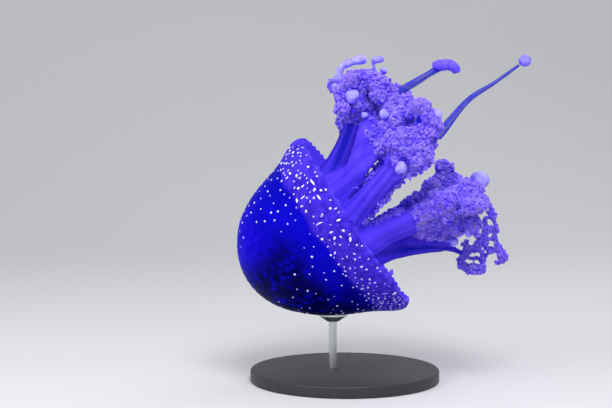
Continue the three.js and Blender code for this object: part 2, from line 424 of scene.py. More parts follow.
smooth_patches = [
    # place and radius of the places where the flesh is bare of frills
    (66, -4, -58, 12),
    (76, -10, -46, 9),
    (87, -10, -41, 7),
    (72, -26, -59, 10),
    (60, -33, -50, 9),
]
slit_places = [
    # across, down, front, back and half width of the slits through the lowest mass's end
    (-58, -112, -84, -30, 4.5),
    (-65, -107.5, -84, -30, 5.5),
    (-74, -100, -84, -30, 6.5),
    (-81, -97, -84, -30, 6.5),
    # and beside the leaning stalk
    (25.5, -25, -62, -12, 1.8),
    (28.0, -31, -62, -12, 2.4),
    (30.5, -37, -62, -12, 2.8),
    (33.0, -43, -62, -12, 3.1),
    (35.5, -49, -62, -12, 3.1),
    (37.5, -55, -62, -12, 2.6),
]
slit_drift = 0.058
club_rows = [
    # place, radius, the way it points
    ((104, -27, -67), 6.6, (0.1, -1, -0.1)),
    ((82, -19, -67), 3.5, (0.2, -1, 0.3)),
    ((72, -38, -83), 4.8, (0.4, -1, -0.2)),
    ((22, -75, -69), 5.8, (-0.3, -1, 0.2)),
    ((45, -66, -125), 4.8, (0.5, -0.7, -0.8)),
    ((-37, 14, -127), 9.6, (0.3, -0.4, -1)),
    ((-68, -48, -89), 4.4, (-0.4, -0.9, 0.1)),
    ((-70, -25, -72), 4.6, (-0.5, -0.8, 0.5)),
    ((108, 0, -107), 3.6, (0.6, -0.1, -1)),
]
bare = [(*row[0], row[1]) for row in club_rows]
bare += [(128, -9, -69, 5.5), (133, -9, -79, 5), (131, -9, -90, 5.5), (127, -9, -98, 6), (118, 1, -108, 3.5)]

# How each arm's mass is cut short: how much its tip is trimmed, how far down its frills start, and
# where it ends flat, with the slope of that end and where across the slope begins.
tip_trims = np.array([8, 8, 5, 3, 0, 11, 6, 9]) / 1000
frill_starts = np.array([0, 0, 0, 0, 0, 0, 66, 58]) / 1000
end_reaches = np.array([103, 200, 200, 200, 200, 116, 129, 125]) / 1000
end_slopes = np.array([0.25, 0, 0, 0, 0, 0.53, 0, 0])
end_turns = np.array([115, 0, 0, 0, 0, -36, 0, 0]) / 1000
top_reach = 0.151
top_way = np.array([0.834, -0.552])
fringe_rows = [
    # arm, turn round it, and the shares of its length between which it grows
    (2, 180, 0.16, 0.44),
    (3, 180, 0.16, 0.44),
    (4, 180, 0.16, 0.44),
    (6, -112, 0.12, 0.44),
    (7, 102, 0.10, 0.54),
    (8, 112, 0.24, 0.50),
]


def around_bundle(azimuth, distance, height):
    angle = math.radians(azimuth)
    return np.array([bundle_middle + distance * math.cos(angle), distance * math.sin(angle), height])


def lengths_along(points):
    return np.concatenate([[0], np.cumsum(np.linalg.norm(np.diff(points, axis=0), axis=1))])


def sampled(at, lengths, values):
    """The values of a line at some of its lengths."""
    return np.stack([np.interp(at, lengths, values[:, axis]) for axis in range(3)], 1)


def arm_line(root, bend, tip, spread, reach):
    """Even points down the middle of an arm, with its length."""
    first = around_bundle(root, root_distance, root_height)
    middle = around_bundle((root + tip) / 2, bend / 1000, -reach / 2000)
    last = around_bundle(tip, spread / 1000, -reach / 1000)
    share = np.linspace(0, 1, 400)[:, None]
    fine = first * (1 - share) ** 2 + 2 * middle * share * (1 - share) + last * share**2
    lengths = lengths_along(fine)
    return sampled(np.linspace(0, lengths[-1], arm_steps), lengths, fine), lengths[-1]


def unit(vectors):
    """Each row drawn out or in to length 1."""
    return vectors / np.linalg.norm(vectors, axis=1)[:, None]


line_points, line_along, line_out, line_length = [], [], [], []
for row in arm_rows:
    points, length = arm_line(*row)
    along = unit(np.gradient(points, axis=0))
    out = np.stack([points[:, 0] - bundle_middle, points[:, 1], 0 * points[:, 0]], 1)
    line_points.append(points)
    line_along.append(along)
    line_out.append(unit(out - along * (out * along).sum(1)[:, None]))
    line_length.append(length)
line_tree = tree_of(np.concatenate(line_points))
line_points, line_along, line_out = (np.concatenate(part) for part in (line_points, line_along, line_out))
line_length = np.array(line_length)


def arm_places(places):
    """Which arm each place is on, the share of its length, and the turn round it from outward."""
    found = np.array([line_tree.find(place)[1] for place in places])
    arm, step = found // arm_steps, found % arm_steps
    offset = places - line_points[found]
    side = np.cross(line_along[found], line_out[found])
    share = step / (arm_steps - 1) + (offset * line_along[found]).sum(1) / line_length[arm]
    angle = np.arctan2((offset * side).sum(1), (offset * line_out[found]).sum(1))
    return arm, share, angle


def strand(points, thickness, widths=None):
    """A round cord of flesh through points in millimetres, closed at both ends."""
    curve = bpy.data.curves.new("strand", "CURVE")
    curve.dimensions = "3D"
    curve.bevel_depth = thickness
    curve.bevel_resolution = 1
    curve.use_fill_caps = True
    curve.resolution_u = 6
    spline = curve.splines.new("BEZIER")
    spline.bezier_points.add(len(points) - 1)
    for knot, point in zip(spline.bezier_points, points):
        knot.co = posed(np.array(point)[None] / 1000)[0]
        knot.handle_left_type = knot.handle_right_type = "AUTO"
    for knot, width in zip(spline.bezier_points, widths or ()):
        knot.radius = width
    cord = bpy.data.objects.new("strand", curve)
    bpy.context.collection.objects.link(cord)
    pick(cord)
    bpy.ops.object.convert(target="MESH")
    return bpy.context.object


def copy_of(node):
    copy = node.copy()
    copy.data = copy.data.copy()
    bpy.context.collection.objects.link(copy)
    return copy


def joined(parts, grow=0):
    """One mesh of all the parts, with doubles merged, grown or drawn in along its normals."""
    deselect_all()
    for part in parts:
        part.select_set(True)
    bpy.context.view_layer.objects.active = parts[0]
    bpy.ops.object.join()
    edit_whole(parts[0], bpy.ops.mesh.remove_doubles, threshold=1e-6)
    if grow:
        apply_modifier(parts[0], "DISPLACE", strength=grow, mid_level=0)
    return parts[0]


def throw_over(piece, count, usable=None):
    """Random places spread evenly over a piece's triangles, with its normals there."""
    corners = triangles_of(piece)
    if usable is not None:
        corners = corners[usable[corners].all(1)]
    a, b, c = (places_of(piece)[corners[:, k]] for k in range(3))
    areas = np.linalg.norm(np.cross(b - a, c - a), axis=1)
    face = chance.choice(len(corners), count, p=areas / areas.sum())
    fold = np.sqrt(chance.random(count))
    slide = chance.random(count)
    shares = np.stack([1 - fold, fold * (1 - slide), fold * slide], 1)[:, :, None]
    normals = normals_of(piece)[corners[face]]
    return (places_of(piece)[corners[face]] * shares).sum(1), unit((normals * shares).sum(1))


def pressed(places, margin):
    """Each near arm's mass ends flat, and so does the uppermost one's top, clear of its finger."""
    arm, _, _ = arm_places(places)
    limit = end_reaches[arm] + end_slopes[arm] * np.maximum(0, end_turns[arm] - places[:, 0]) - margin
    held = np.stack([places[:, 0], np.maximum(places[:, 2], -limit)], 1)
    over = np.maximum(0, held @ top_way - top_reach + margin) * (arm == 0)
    held -= over[:, None] * top_way
    return np.stack([held[:, 0], places[:, 1], held[:, 1]], 1)


# The masses are cores, drawn in from the solids and crowded with balls, as lumpy as a cauliflower.
# Knobs follow the lace, and along the stalks' edges small balls stand out in ragged rows.
chance = np.random.default_rng(5)
lumps = [(np.array(row[:3]) / 1000, row[3] / 1000) for row in single_lumps]
for points in lace_strands:
    for start, end in zip(points, points[1:]):
        for share in np.arange(0, 1, lace_knob_spacing / math.dist(start, end)):
            place = (np.array(start) * (1 - share) + np.array(end) * share + chance.normal(0, 1.7, 3)) / 1000
            if chance.random() < 0.72:
                lumps.append((place, chance.uniform(0.0011, 0.0024)))
for number in range(8):
    if number == lace_arm:
        continue
    on_solid, facing = throw_over(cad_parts[f"arm_{number + 1}_frill"], 1600)
    kept = thin_out(on_solid, lump_spacing)
    on_solid, facing = on_solid[kept], facing[kept]
    _, share, _ = arm_places(upright(on_solid))
    sizes = chance.uniform(0.0040, 0.0070, len(kept)) * (0.6 + 0.4 * smooth(share, 0.42, 0.6))
    depths = sizes + chance.uniform(0.0010, 0.0034, len(kept)) + tip_trims[number] * smooth(share, 0.7, 0.95)
    for place, size in zip(pressed(upright(on_solid - facing * depths[:, None]), sizes + 0.0015), sizes):
        in_hollow = any(math.dist(place * 1000, row[:3]) < row[3] for row in hollows + smooth_patches)
        on_club = any(math.dist(place * 1000, row[:3]) < 1000 * size + 0.7 * row[3] for row in bare)
        if not in_hollow and not on_club and -place[2] > frill_starts[number] + 0.8 * size:
            lumps.append((place, size))
view = bpy.context.evaluated_depsgraph_get()
for number, degrees, low, high in fringe_rows:
    wall = BVHTree.FromObject(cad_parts[f"arm_{number}_stalk"], view)
    share = low
    while share < high:
        step = (number - 1) * arm_steps + round(share * (arm_steps - 1))
        turn = math.radians(degrees + chance.normal(0, 6))
        off = line_out[step] * math.cos(turn)
        off = off + np.cross(line_along[step], line_out[step]) * math.sin(turn)
        hit = wall.ray_cast(pose @ Vector(line_points[step]), pose.to_3x3() @ Vector(off), fringe_reach)[0]
        size = chance.uniform(0.0022, 0.0037)
        reach = chance.uniform(-0.0004, 0.0010)
        for _ in range(chance.integers(1, 4)):
            if hit:
                lumps.append((np.array(pose.inverted() @ hit) + off * reach, size))
            off = unit((off + chance.normal(0, 0.35, 3))[None])[0]
            reach += 1.1 * size
            size *= 0.8
        gap = chance.uniform(0.002, 0.004) + 0.006 * (chance.random() < 0.16)
        share += gap / line_length[number - 1]
lump_places = np.array([place for place, _ in lumps])
lump_sizes = np.array([size for _, size in lumps])
lump_tree = tree_of(lump_places)


def lumps_at(places):
    """How far each place is outside its nearest lump, and how deep it is in a furrow, 0 to 1."""
    outside_by, furrows = np.empty(len(places)), np.empty(len(places))
    for index, place in enumerate(places):
        found = lump_tree.find_n(place, 4)
        near = sorted(distance - lump_sizes[number] for _, number, distance in found)
        outside_by[index], furrows[index] = near[0], near[1] - near[0]
    return outside_by, 1 - smooth(furrows, 0.0, 0.0034)


deselect_all()
bpy.ops.mesh.primitive_ico_sphere_add(subdivisions=2, radius=1)
ball = bpy.context.object
ball_places = places_of(ball)
ball_faces = np.array(faces_of(ball))
bpy.data.objects.remove(ball)
balls_mesh = bpy.data.meshes.new("lumps")
balls_mesh.from_pydata(
    posed((lump_places[:, None] + ball_places * lump_sizes[:, None, None]).reshape(-1, 3)).tolist(),
    [],
    (ball_faces + len(ball_places) * np.arange(len(lumps))[:, None, None]).reshape(-1, 3).tolist(),
)
balls = bpy.data.objects.new("lumps", balls_mesh)
bpy.context.collection.objects.link(balls)

fleshy = ["oral_disc"] + [f"arm_{i}_{part}" for i in range(1, 9) for part in ("stalk", "frill")]
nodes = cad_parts
stalks = joined([copy_of(nodes[name]) for name in fleshy if not name.endswith("frill")], stalk_growth)
core_names = [f"arm_{i}_frill" for i in range(1, 9) if i != lace_arm + 1]
cores = joined([copy_of(nodes[name]) for name in core_names], -core_inset)
arm, share, _ = arm_places(upright(places_of(cores)))
trims = tip_trims[arm] * smooth(share, 0.7, 0.95)
move_to(cores, posed(pressed(upright(places_of(cores) - normals_of(cores) * trims[:, None]), 0.006)))
places = upright(places_of(stalks))
arm, share, _ = arm_places(places)
middles = line_points[np.array([line_tree.find(place)[1] for place in places])]
slim = 1 - 0.5 * (arm == lace_arm) * smooth(share, 0.22, 0.6)
slim -= 0.3 * (arm == leaning_arm) * (1 - smooth(share, 0.2, 0.45)) * smooth(share, 0.0, 0.06)
move_to(stalks, posed(middles + (places - middles) * slim[:, None]))
web = strand(web_line, web_thickness, web_widths)
leaning = strand(stalk_line, leaning_thickness, stalk_widths)
mouth = joined([stalks, cores, balls, web, leaning])
mouth.name = "mouth_parts"
apply_modifier(mouth, "REMESH", mode="VOXEL", voxel_size=0.0022)
apply_modifier(mouth, "SMOOTH", factor=0.5, iterations=3)
slits = []
for across, down, front, back, half_width in slit_places:
    drift = slit_drift * (back - front) / 2 * (across > 0)
    line = [(across + drift, front, down), (across, (front + back) / 2, down), (across - drift, back, down)]
    slits.append(strand(line, half_width / 1000))
slit = joined(slits)
apply_modifier(slit, "REMESH", mode="VOXEL", voxel_size=0.0015)
apply_modifier(mouth, "BOOLEAN", operation="DIFFERENCE", object=slit, solver="MANIFOLD")
bpy.data.objects.remove(slit)
lace = joined([strand(points, lace_thickness) for points in lace_strands])
apply_modifier(lace, "REMESH", mode="VOXEL", voxel_size=0.0013)
lace_tree = tree_of(upright(places_of(lace)))
apply_modifier(mouth, "BOOLEAN", operation="UNION", object=lace, solver="MANIFOLD")
bpy.data.objects.remove(lace)


def stripes_at(share, angle, arm):
    """Lengthwise bands of clear and dark flesh down the stalks, from 0 to 1."""
    broad_bands = np.cos(7 * angle + 3.0 * np.sin(2.4 * share + arm) + 0.8 * np.sin(2 * angle))
    return smooth(broad_bands + 0.5 * np.cos(19 * angle + 2 * np.sin(4 * share + 2 * arm)), -0.8, 1.0)


# The stalks are grooved along their dark bands.
places = upright(places_of(mouth))
arm, share, angle = arm_places(places)
smooth_stalk = (1 - smooth(share, 0.42, 0.52)) * smooth(share, 0.05, 0.2)
smooth_stalk = smooth_stalk * (distance_to(lace_tree, places) > 0.003)
groove = -groove_depth * stripes_at(share, angle, arm) * smooth_stalk
move_to(mouth, posed(places + (normals_of(mouth) @ upright_array[:3, :3].T) * groove[:, None]))
apply_modifier(skin, "BOOLEAN", operation="UNION", object=mouth, solver="MANIFOLD")
bpy.data.objects.remove(mouth)
pick(skin)
bpy.ops.object.shade_smooth()

# What each place on the skin is, for its colours: how far up the bell, where on which arm, and where shade,
# light and glow are painted on.
places = upright(places_of(skin))
normals = normals_of(skin) @ upright_array[:3, :3].T
arm, share, angle = arm_places(places)
height = places[:, 2]
lean = np.stack([lean_at(height), 0 * height, 0 * height], 1)
sideways = places[:, 0]
turn = np.arctan2(places[:, 1], places[:, 0] - lean[:, 0])
radius = np.hypot(places[:, 0] - lean[:, 0], places[:, 1])
capped = np.clip(height, 0, inner_height)
is_bell = (height > -0.010) & (radius > inner_radius(capped) - np.where(height > 0.004, 0.0012, 0.009))
between = (outer_radius(np.clip(height, 0, bell_height)) + inner_radius(capped)) / 2
outward = (normals * np.stack([np.cos(turn), np.sin(turn), np.maximum(normals[:, 2], 0)], 1)).sum(1)
is_outside = is_bell & (radius > between - 0.0004) & ((outward > -0.1) | (height > 0.03))
is_mouth = ~is_bell
outside_by, furrow = lumps_at(places)
on_lump = outside_by < 0.0010
on_lace = distance_to(lace_tree, places) < 0.0026
# Painted shade: the bare pit is given the dark stripe colour.
in_pit = apart(places, hollows[0][:3]) < hollows[0][3] - 1
ragged = 0.018 * np.sin(5 * angle + arm) + 0.012 * np.sin(12 * angle + 2 * arm)
on_mass = (share > 0.47 + ragged) & (arm != lace_arm) & ~in_pit
on_mass &= -height > frill_starts[arm] + 0.15 * ragged
for *patch_place, patch_size in smooth_patches:
    on_mass &= apart(places, patch_place) >= patch_size
frilled = is_mouth & (height < 0.004) & (on_lump | on_lace | on_mass)
violet_top = 0.0265 + 0.004 * np.cos(turn) + 0.005 * np.maximum(0, -np.sin(turn))
violet_top = violet_top + 0.0011 * np.sin(9 * turn + 1) + 0.0007 * np.sin(17 * turn)
# Painted shade: the dome darkens towards its lower side, and on that side towards its apex. Near the apex
# this is partly the dome's own darker tone.
apex_tone_and_painted_shade = smooth(height, 0.044, 0.072) * (1 - smooth(sideways, 0.006, 0.046))
underside_painted_shade = smooth(height, 0.018, 0.042) * (1 - smooth(sideways, -0.070, -0.020))
stripe_strength = np.array([1.0, 0.4, 0.4, 0.6, 1.0, 0.24, 0.52, 0.34])[arm]
stripe_middle = np.array([0.5, 0, 0, 0, -0.3, 0, 0, 0])[arm]
stripe_facing = smooth(np.cos(angle - stripe_middle), -0.35, 0.35)
stripe_facing = np.where(stripe_strength < 0.9, 1, stripe_facing) * smooth(share, 0.0, 0.12)
stripe_ground = np.where(stripe_strength < 0.9, 0, 0.35)
stripes_and_pit_shade = stripe_ground + (1 - stripe_ground) * stripes_at(share, angle, arm)
# The stalks' real stripes, with painted shade added in the bare pit.
stripes_and_pit_shade = stripes_and_pit_shade * stripe_strength * stripe_facing * is_mouth + in_pit


def store(piece, name, values):
    attribute = piece.data.attributes.new(name, "FLOAT", "POINT")
    attribute.data.foreach_set("value", np.asarray(values, dtype=np.float32))


upper_rim = 0.45 * smooth(sideways, 0.055, 0.088) * (1 - smooth(height, 0.014, 0.030)) * is_outside
# Painted glow: the bell's underside near its rim, and the arms' roots below it, are given an emitted glow as
# if lit through the clear jelly.
painted_glow = is_bell * ~is_outside * (1 - smooth(height, 0.004, 0.035))
skin_marks = {
    "bell": is_bell,
    "outside": is_outside,
    "violet": 1 - smooth(height, violet_top - 0.0030, violet_top + 0.0022),
    "edge": np.maximum(is_bell * (1 - smooth(height, -0.0020, 0.0010)), upper_rim),
    "shade": np.clip(apex_tone_and_painted_shade + 0.85 * underside_painted_shade, 0, 1),
    # Painted light: the dome's upper side near the apex, where the lamps above fall, is painted lighter.
    "painted_light": smooth(height, 0.062, 0.112) * smooth(sideways, 0.0, 0.045),
    "wart": np.clip(1 - (distance_to(wart_tree, places - lean) / 0.0042) ** 2, 0, 1),
    "canals": 0.5 + 0.5 * np.cos(48 * turn),
    "frilled": frilled * (0.5 + 0.5 * furrow),
    "stripes_and_pit_shade": np.clip(stripes_and_pit_shade, 0, 1),
    "painted_glow": painted_glow + 0.35 * is_mouth * (1 - smooth(share, 0.10, 0.34)),
}
for name, values in skin_marks.items():
    store(skin, name, values)


class Signal:
    """A number that changes over a surface. Sums and products of signals add their Math nodes."""

    def __init__(self, finish, socket):
        self.finish = finish
        self.socket = socket

    def combine(self, operation, *others):
        return self.finish.node("ShaderNodeMath", {"operation": operation}, *others)

    def __add__(self, other):
        return self.combine("ADD", self, other)

    def __mul__(self, other):
        return self.combine("MULTIPLY", self, other)

    __radd__ = __add__
    __rmul__ = __mul__


class Finish:
    """A material under construction. node() adds any node and gives back its output."""

    def __init__(self, name, **constants):
        self.material = bpy.data.materials.new(name)
        self.material.use_nodes = True
        self.tree = self.material.node_tree
        self.shader = self.tree.nodes["Principled BSDF"]
        for socket, value in constants.items():
            self.shader.inputs[socket.replace("_", " ")].default_value = value

    def set(self, socket, value):
        if isinstance(value, Signal):
            self.tree.links.new(value.socket, socket)
        elif isinstance(value, tuple) and socket.type == "RGBA":
            socket.default_value = (*value, 1)
        else:
            socket.default_value = value

    def node(self, kind, settings, *inputs, output=0, **named):
        added = self.tree.nodes.new(kind)
        for key, value in settings.items():
            setattr(added, key, value)
        for index, value in enumerate(inputs):
            if value is not None:
                self.set(added.inputs[index], value)
        for name, value in named.items():
            self.set(added.inputs[name.replace("_", " ")], value)
        return Signal(self, added.outputs[output])

    def attribute(self, name):
        return self.node("ShaderNodeAttribute", {"attribute_name": name}, output="Fac")

    def noise(self, scale, detail=2):
        place = self.node("ShaderNodeTexCoord", {}, output="Object")
        return self.node("ShaderNodeTexNoise", {}, Vector=place, Scale=scale, Detail=detail)

    def span(self, value, low, high, first=0.0, last=1.0):
        return self.node("ShaderNodeMapRange", {}, value, low, high, first, last)

    def mix(self, share, first, second):
        unused = (None,) * 5
        return self.node("ShaderNodeMix", {"data_type": "RGBA"}, share, *unused, first, second, output=2)

    def give(self, socket, value):
        self.set(self.shader.inputs[socket], value)

    def cover(self, piece):
        piece.data.materials.clear()
        piece.data.materials.append(self.material)


# The jelly's emission paints a glow under the rim and at the arms' roots.
jelly = Finish("moist_jelly", Roughness=0.45, IOR=1.34, Specular_IOR_Level=0.035, Emission_Strength=0.4)
mix, span, mark = jelly.mix, jelly.span, jelly.attribute
grain = jelly.noise(520, 3)
cloud = jelly.noise(45, 3)
streak = jelly.noise(130, 4)
# The wart tops are painted lighter. This is partly the granules' own paler tone and partly a painted
# highlight where light would catch them.
patchy = mark("wart") * span(jelly.noise(62, 2), 0.45, 0.58)
dark_dome = mix(patchy, (0.0003, 0.0002, 0.060), (0.0010, 0.0008, 0.44))
mid_dome = mix(span(cloud, 0.3, 0.7), (0.0010, 0.0006, 0.36), (0.0022, 0.0012, 0.50))
# Painted light: a lighter violet blue for the dome's upper side, with the warts there lighter still.
painted_lit_dome = mix(mark("wart"), (0.005, 0.0008, 0.58), (0.018, 0.0025, 0.76))
# The shade mark paints shade onto the dome's lower side and apex, partly the apex's own darker tone.
dome = mix(mark("shade"), mid_dome, dark_dome)
dome = mix(mark("painted_light"), dome, painted_lit_dome)
dome = mix(span(grain, 0.62, 0.76, 0.0, 0.35), dome, (0.008, 0.006, 0.75))
skirt_color = mix(span(streak, 0.35, 0.65), (0.026, 0.010, 0.42), (0.056, 0.025, 0.66))
skirt_color = mix(span(grain, 0.56, 0.70, 0.0, 0.45), skirt_color, (0.15, 0.10, 0.86))
skirt_color = mix(mark("edge") * span(cloud, 0.35, 0.65), skirt_color, (0.10, 0.06, 0.82))
outer_color = mix(mark("violet"), dome, skirt_color)
under_color = mix(mark("canals") * 0.5, (0.10, 0.05, 0.78), (0.17, 0.10, 0.92))
under_color = mix(span(cloud, 0.3, 0.7, 0.0, 0.4), under_color, (0.05, 0.02, 0.58))
bell_color = mix(mark("outside"), under_color, outer_color)
clear_flesh = mix(span(cloud, 0.3, 0.7), (0.075, 0.035, 0.70), (0.114, 0.057, 0.87))
stalk_color = mix(mark("stripes_and_pit_shade"), clear_flesh, (0.008, 0.010, 0.38))
core_color = mix(mark("frilled"), stalk_color, (0.09, 0.05, 0.68))
jelly.give("Base Color", mix(mark("bell"), core_color, bell_color))
# Painted glow: this emission lights the rim's underside and the arms' roots, though no lamp is there.
painted_glow_color = mix(mark("painted_glow"), (0.0, 0.0, 0.0), (0.12, 0.06, 0.85))
jelly.give("Emission Color", painted_glow_color)
jelly.give("Normal", jelly.node("ShaderNodeBump", {}, Height=grain, Strength=0.2, Distance=0.0004))
jelly.cover(skin)
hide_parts("bell_dome", "bell_margin", *fleshy)
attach(skin, "root")

# ---- White spots ---------------------------------------------------------------------------------
# The bell is dotted with opaque white grains in its skin, round and wide apart on the dome, and
# crowded and drawn out into dashes on the skirt. Each is a low lens that follows the surface.

spot_around = 8
spot_stand = 0.55
large_clearance = 0.0046
surface = BVHTree.FromObject(skin, bpy.context.evaluated_depsgraph_get())
chance = np.random.default_rng(21)


def scatter_spots(count, low, high, spacing):
    places = on_bell(chance.uniform(low, high, count), chance.uniform(-math.pi, math.pi, count))
    return places[thin_out(places, spacing)]


dome_spots = scatter_spots(1600, 0.031, 0.114, 0.0078)
upper_end = smooth(dome_spots[:, 0], 0.030, 0.058)
by_skirt = 1 - smooth(dome_spots[:, 2], 0.050, 0.075)
over_apex = smooth(dome_spots[:, 2], 0.078, 0.105) * (1 - upper_end)
crowd = (0.36 + 0.54 * upper_end + 0.24 * by_skirt) * (1 - 0.7 * over_apex)
spot_rows = []
for place in dome_spots[chance.random(len(dome_spots)) < crowd]:
    size = 0.0007 + 0.0007 * chance.random() ** 1.5
    stretch = chance.uniform(1.0, 1.35)
    spot_rows.append((place, size * stretch, size, chance.uniform(0, math.pi), chance.uniform(0.15, 0.95)))
skirt_spots = scatter_spots(5200, 0.0012, 0.031, 0.0045)
facing_up = np.cos(np.arctan2(skirt_spots[:, 1], skirt_spots[:, 0]))
upper_end = smooth(facing_up, 0.2, 0.9)
lower_end = smooth(-facing_up, 0.35, 0.9)
crowd = 0.50 + 0.12 * upper_end + 0.50 * lower_end + 0.12 * (1 - smooth(skirt_spots[:, 2], 0.003, 0.012))
large_spots = [
    # height, the way towards the upper end, half length, half width, swing
    (8.7, 56.8, 4.8, 1.15, 0.1),
    (11.1, 42.0, 4.0, 1.15, 0.1),
    (4.6, 70.0, 1.7, 1.5, 0.0),
    (1.6, 44.0, 1.5, 1.3, 0.0),
    (7.4, 27.3, 1.6, 1.5, 0.0),
    (6.6, 14.1, 2.4, 1.2, 1.3),
    (8.2, 3.5, 1.8, 1.4, 0.5),
    (18.8, 8.2, 2.6, 1.0, 1.4),
    (18.8, 58.4, 2.8, 1.0, 1.5),
]
large_places = []
for rise, upward, long_half, short_half, swing in large_spots:
    reach = np.hypot(*on_bell(np.array([rise / 1000]), np.array([0.0]))[0, :2])
    way = -math.acos((upward / 1000 - lean_at(rise / 1000)) / reach)
    large_places.append(on_bell(np.array([rise / 1000]), np.array([way]))[0])
    spot_rows.append((large_places[-1], long_half / 1000, short_half / 1000, swing, 1.0))
clear_of_large = distance_to(tree_of(np.array(large_places)), skirt_spots) > large_clearance
for index in np.flatnonzero((chance.random(len(crowd)) < crowd) & clear_of_large):
    size = 0.0007 + 0.0010 * chance.random() ** 2
    size *= 1 + 0.15 * upper_end[index] - 0.28 * lower_end[index]
    drawn = chance.random()
    stretch = chance.uniform(1.0, 1.5) if drawn < 0.68 else chance.uniform(1.6, 2.4)
    if drawn > 0.96 and 0.004 < skirt_spots[index, 2] < 0.026:
        size, stretch = 0.0008, chance.uniform(4.0, 6.5)
    tone = min(0.15 + 0.85 * chance.random() + 0.35 * upper_end[index], 0.98)
    spot_rows.append((skirt_spots[index], size * stretch, size, chance.normal(math.pi / 2, 0.9), tone))

ring = np.arange(spot_around)
following = (ring + 1) % spot_around
last_point = 1 + 2 * spot_around
lens_faces = np.concatenate(
    [
        np.stack([0 * ring, 1 + ring, 1 + following], 1),
        np.stack([1 + ring, 1 + spot_around + ring, 1 + spot_around + following], 1),
        np.stack([1 + ring, 1 + spot_around + following, 1 + following], 1),
        np.stack([0 * ring + last_point, 1 + spot_around + following, 1 + spot_around + ring], 1),
    ]
)
spot_turns = [2 * math.pi * step / spot_around for step in range(spot_around)]
lens = [(0.0, 0.0, 1.0)]
lens += [(0.62 * math.cos(t), 0.62 * math.sin(t), 0.8) for t in spot_turns]
lens += [(math.cos(t), math.sin(t), -0.3) for t in spot_turns]
lens += [(0.0, 0.0, -1.2)]
spot_places, spot_patches, spot_tones = [], [], []
for number, (place, long_half, short_half, swing, tone) in enumerate(spot_rows):
    round_turn = math.atan2(place[1], place[0])
    up = unit(np.array([[place[0], place[1], 0.5 * place[2]]]))[0]
    across = np.array([-math.sin(round_turn), math.cos(round_turn), 0])
    rise = np.cross(up, across)
    first = math.cos(swing) * across + math.sin(swing) * rise
    second = -math.sin(swing) * across + math.cos(swing) * rise
    leaned = place + np.array([lean_at(place[2]), 0, 0])
    bend = chance.normal(0, 0.25) * (long_half / short_half - 1) * (tone < 1)
    for along, beside, lift in lens:
        sway = beside + bend * along * along
        wanted = Vector(leaned + first * along * long_half + second * sway * short_half)
        spot, normal, _, _ = surface.find_nearest(pose @ wanted)
        spot_places.append(spot + normal * lift * spot_stand * short_half)
        spot_patches.append((number, along, beside))
        spot_tones.append(tone)
spot_faces = (lens_faces[None] + len(lens) * np.arange(len(spot_rows))[:, None, None]).reshape(-1, 3)


def mesh_piece(name, places, faces, patches):
    """A piece from arrays of triangles, with its bake map."""
    mesh = bpy.data.meshes.new(name)
    mesh.vertices.add(len(places))
    mesh.vertices.foreach_set("co", np.asarray(places, dtype=np.float32).ravel())
    mesh.loops.add(faces.size)
    mesh.loops.foreach_set("vertex_index", faces.ravel().astype(np.int32))
    mesh.polygons.add(len(faces))
    mesh.polygons.foreach_set("loop_start", np.arange(0, faces.size, 3, dtype=np.int32))
    mesh.update(calc_edges=True)
    piece = bpy.data.objects.new(name, mesh)
    bpy.context.collection.objects.link(piece)
    bake_map = mesh.uv_layers.new(name="OFBake")
    bake_map.data.foreach_set("uv", patches[faces.ravel()].astype(np.float32).ravel())
    edit_whole(piece, bpy.ops.mesh.normals_make_consistent, inside=False)
    bpy.ops.object.shade_smooth()
    return piece


def bell_unwrap(places):
    """The bell laid flat like an opened flower: its apex in the middle and its rim round the edge."""
    turns = np.arctan2(places[:, 1], places[:, 0])
    out = 0.48 * np.arccos(np.clip(places[:, 2] / bell_height, -0.05, 1)) / (math.pi / 2 + 0.06)
    return 0.5 + np.stack([out * np.cos(turns), out * np.sin(turns)], 1)


spot_middles = bell_unwrap(np.array([row[0] for row in spot_rows]))
spot_patches = np.array(spot_patches)
spot_uv = spot_middles[spot_patches[:, 0].astype(int)] + 0.0014 * spot_patches[:, 1:]
spots = mesh_piece("white_spots", spot_places, spot_faces, spot_uv)
store(spots, "tone", spot_tones)
white = Finish("white_grain", Roughness=0.45, IOR=1.4, Specular_IOR_Level=0.25)
spot_color = white.mix(white.attribute("tone"), (0.15, 0.11, 0.92), (0.86, 0.82, 1.0))
flecks = white.span(white.noise(900), 0.4, 0.7, 0.0, 0.35)
white.give("Base Color", white.mix(flecks, spot_color, (0.5, 0.45, 1.0)))
white.cover(spots)
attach(spots, "root")

# ---- Frills --------------------------------------------------------------------------------------
# Each arm ends in a mass of tiny ruffled mouths. A few kinds of curl and curd are modelled once, and
# thousands of copies crowd the arm's lumps, the lace and the ragged edges of the stalks.


def floret(lobes, depth, dimple, stand, long=1.0, bend=0.0):
    """A curd with a lobed rim: a low ball, drawn out into lobes, dimpled, and bent where it is long."""
    deselect_all()
    bpy.ops.mesh.primitive_uv_sphere_add(segments=10, ring_count=4, radius=1)
    curd = bpy.context.object
    shape = places_of(curd)
    turns = np.arctan2(shape[:, 1], shape[:, 0])
    level = shape[:, 2].copy()
    out = np.hypot(shape[:, 0], shape[:, 1])
    lobed = 1 + depth * np.cos(lobes * turns) * (level > -0.5)
    shape[:, :2] *= lobed[:, None]
    shape[:, 2] = stand * level + 0.16 * np.cos(lobes * turns) * (level > 0.1) * out
    shape[:, 2] -= dimple * (level > 0.9)
    shape[:, 2] += 0.12 * np.sin(2 * turns) * out
    shape[:, 0] *= long
    shape[:, 1] += bend * shape[:, 0] ** 2
    move_to(curd, shape)
    edit_whole(curd, bpy.ops.mesh.quads_convert_to_tris)
    shape = places_of(curd)
    shape[:, 2] -= shape[:, 2].min()
    faces = np.array(faces_of(curd))
    bpy.data.objects.remove(curd)
    return shape, faces


